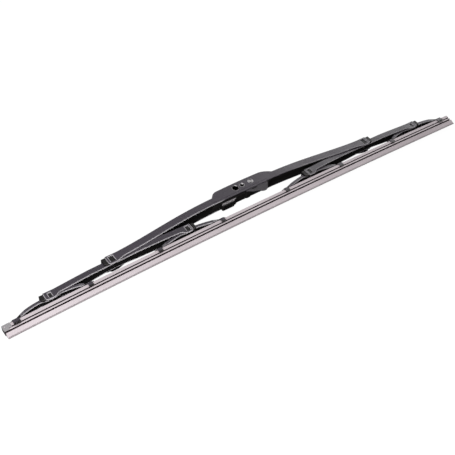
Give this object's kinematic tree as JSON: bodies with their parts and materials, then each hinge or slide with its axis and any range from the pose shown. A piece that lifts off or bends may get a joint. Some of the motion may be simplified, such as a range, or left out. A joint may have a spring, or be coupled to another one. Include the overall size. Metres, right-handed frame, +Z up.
{
  "type": "wiper blade",
  "caption": "Framed windscreen wiper blade: a sprung rubber strip held by claw yokes that rock on arms under a pressed steel bridge with a raised arm mount.",
  "frame": {"origin": "middle of the arm bore, in the blade's middle plane", "axes": "+X along the blade, +Y from the lip towards the bridge's back, +Z across the blade, along the arm bore and the pivots; the blade lies on its side with +Z up"},
  "size_m": [0.5522, 0.0504, 0.0126],
  "materials": {
    "bridge_paint": "satin dark grey paint",
    "arm_paint": "satin dark grey paint",
    "yoke_paint": "satin dark grey paint",
    "plastic": "moulded, matt",
    "steel": "bright",
    "rubber": "pale, smooth, matt"
  },
  "bodies": {
    "bridge": {"main_bridge": "bridge_paint", "arm_bush": "steel", "adapter_pin": "steel", "stay_rivet": "steel", "lock_clip": "plastic", "bridge_insert_left": "plastic", "bridge_insert_right": "plastic", "rubber_strip": "rubber", "rail_near": "steel", "rail_far": "steel"},
    "adapter": {"arm_adapter": "plastic"},
    "left_arm": {"arm_left": "arm_paint", "claw_insert_1": "plastic", "claw_insert_2": "plastic"},
    "right_arm": {"arm_right": "arm_paint", "claw_insert_3": "plastic", "claw_insert_4": "plastic"},
    "claws_1": {"claw_yoke_1": "yoke_paint", "end_clip": "steel"},
    "claws_2": {"claw_yoke_2": "yoke_paint"},
    "claws_3": {"claw_yoke_3": "yoke_paint"},
    "claws_4": {"claw_yoke_4": "yoke_paint"}
  },
  "joints": [
    {"name": "adapter_swing", "type": "hinge", "parent": "bridge", "child": "adapter", "pos_m": [0.0084, 0, 0], "axis": [0, 0, 1], "range_deg": [-8, 8]},
    {"name": "arm_left_rock", "type": "hinge", "parent": "bridge", "child": "left_arm", "pos_m": [-0.15334, -0.01685, 0], "axis": [0, 0, 1], "range_deg": [-6, 6], "stiffness_Nm_per_rad": 0.2, "deforming": ["rubber_strip", "rail_near", "rail_far"]},
    {"name": "arm_right_rock", "type": "hinge", "parent": "bridge", "child": "right_arm", "pos_m": [0.16474, -0.01685, 0], "axis": [0, 0, 1], "range_deg": [-6, 6], "stiffness_Nm_per_rad": 0.2, "deforming": ["rubber_strip", "rail_near", "rail_far"]},
    {"name": "claws_1_rock", "type": "hinge", "parent": "left_arm", "child": "claws_1", "pos_m": [-0.2204, -0.02401, 0], "axis": [0, 0, 1], "range_deg": [-8, 8], "stiffness_Nm_per_rad": 0.05, "deforming": ["rubber_strip", "rail_near", "rail_far"]},
    {"name": "claws_2_rock", "type": "hinge", "parent": "left_arm", "child": "claws_2", "pos_m": [-0.07172, -0.02181, 0], "axis": [0, 0, 1], "range_deg": [-8, 8], "stiffness_Nm_per_rad": 0.05, "deforming": ["rubber_strip", "rail_near", "rail_far"]},
    {"name": "claws_3_rock", "type": "hinge", "parent": "right_arm", "child": "claws_3", "pos_m": [0.08312, -0.02181, 0], "axis": [0, 0, 1], "range_deg": [-8, 8], "stiffness_Nm_per_rad": 0.05, "deforming": ["rubber_strip", "rail_near", "rail_far"]},
    {"name": "claws_4_rock", "type": "hinge", "parent": "right_arm", "child": "claws_4", "pos_m": [0.2318, -0.02401, 0], "axis": [0, 0, 1], "range_deg": [-8, 8], "stiffness_Nm_per_rad": 0.05, "deforming": ["rubber_strip", "rail_near", "rail_far"]}
  ]
}
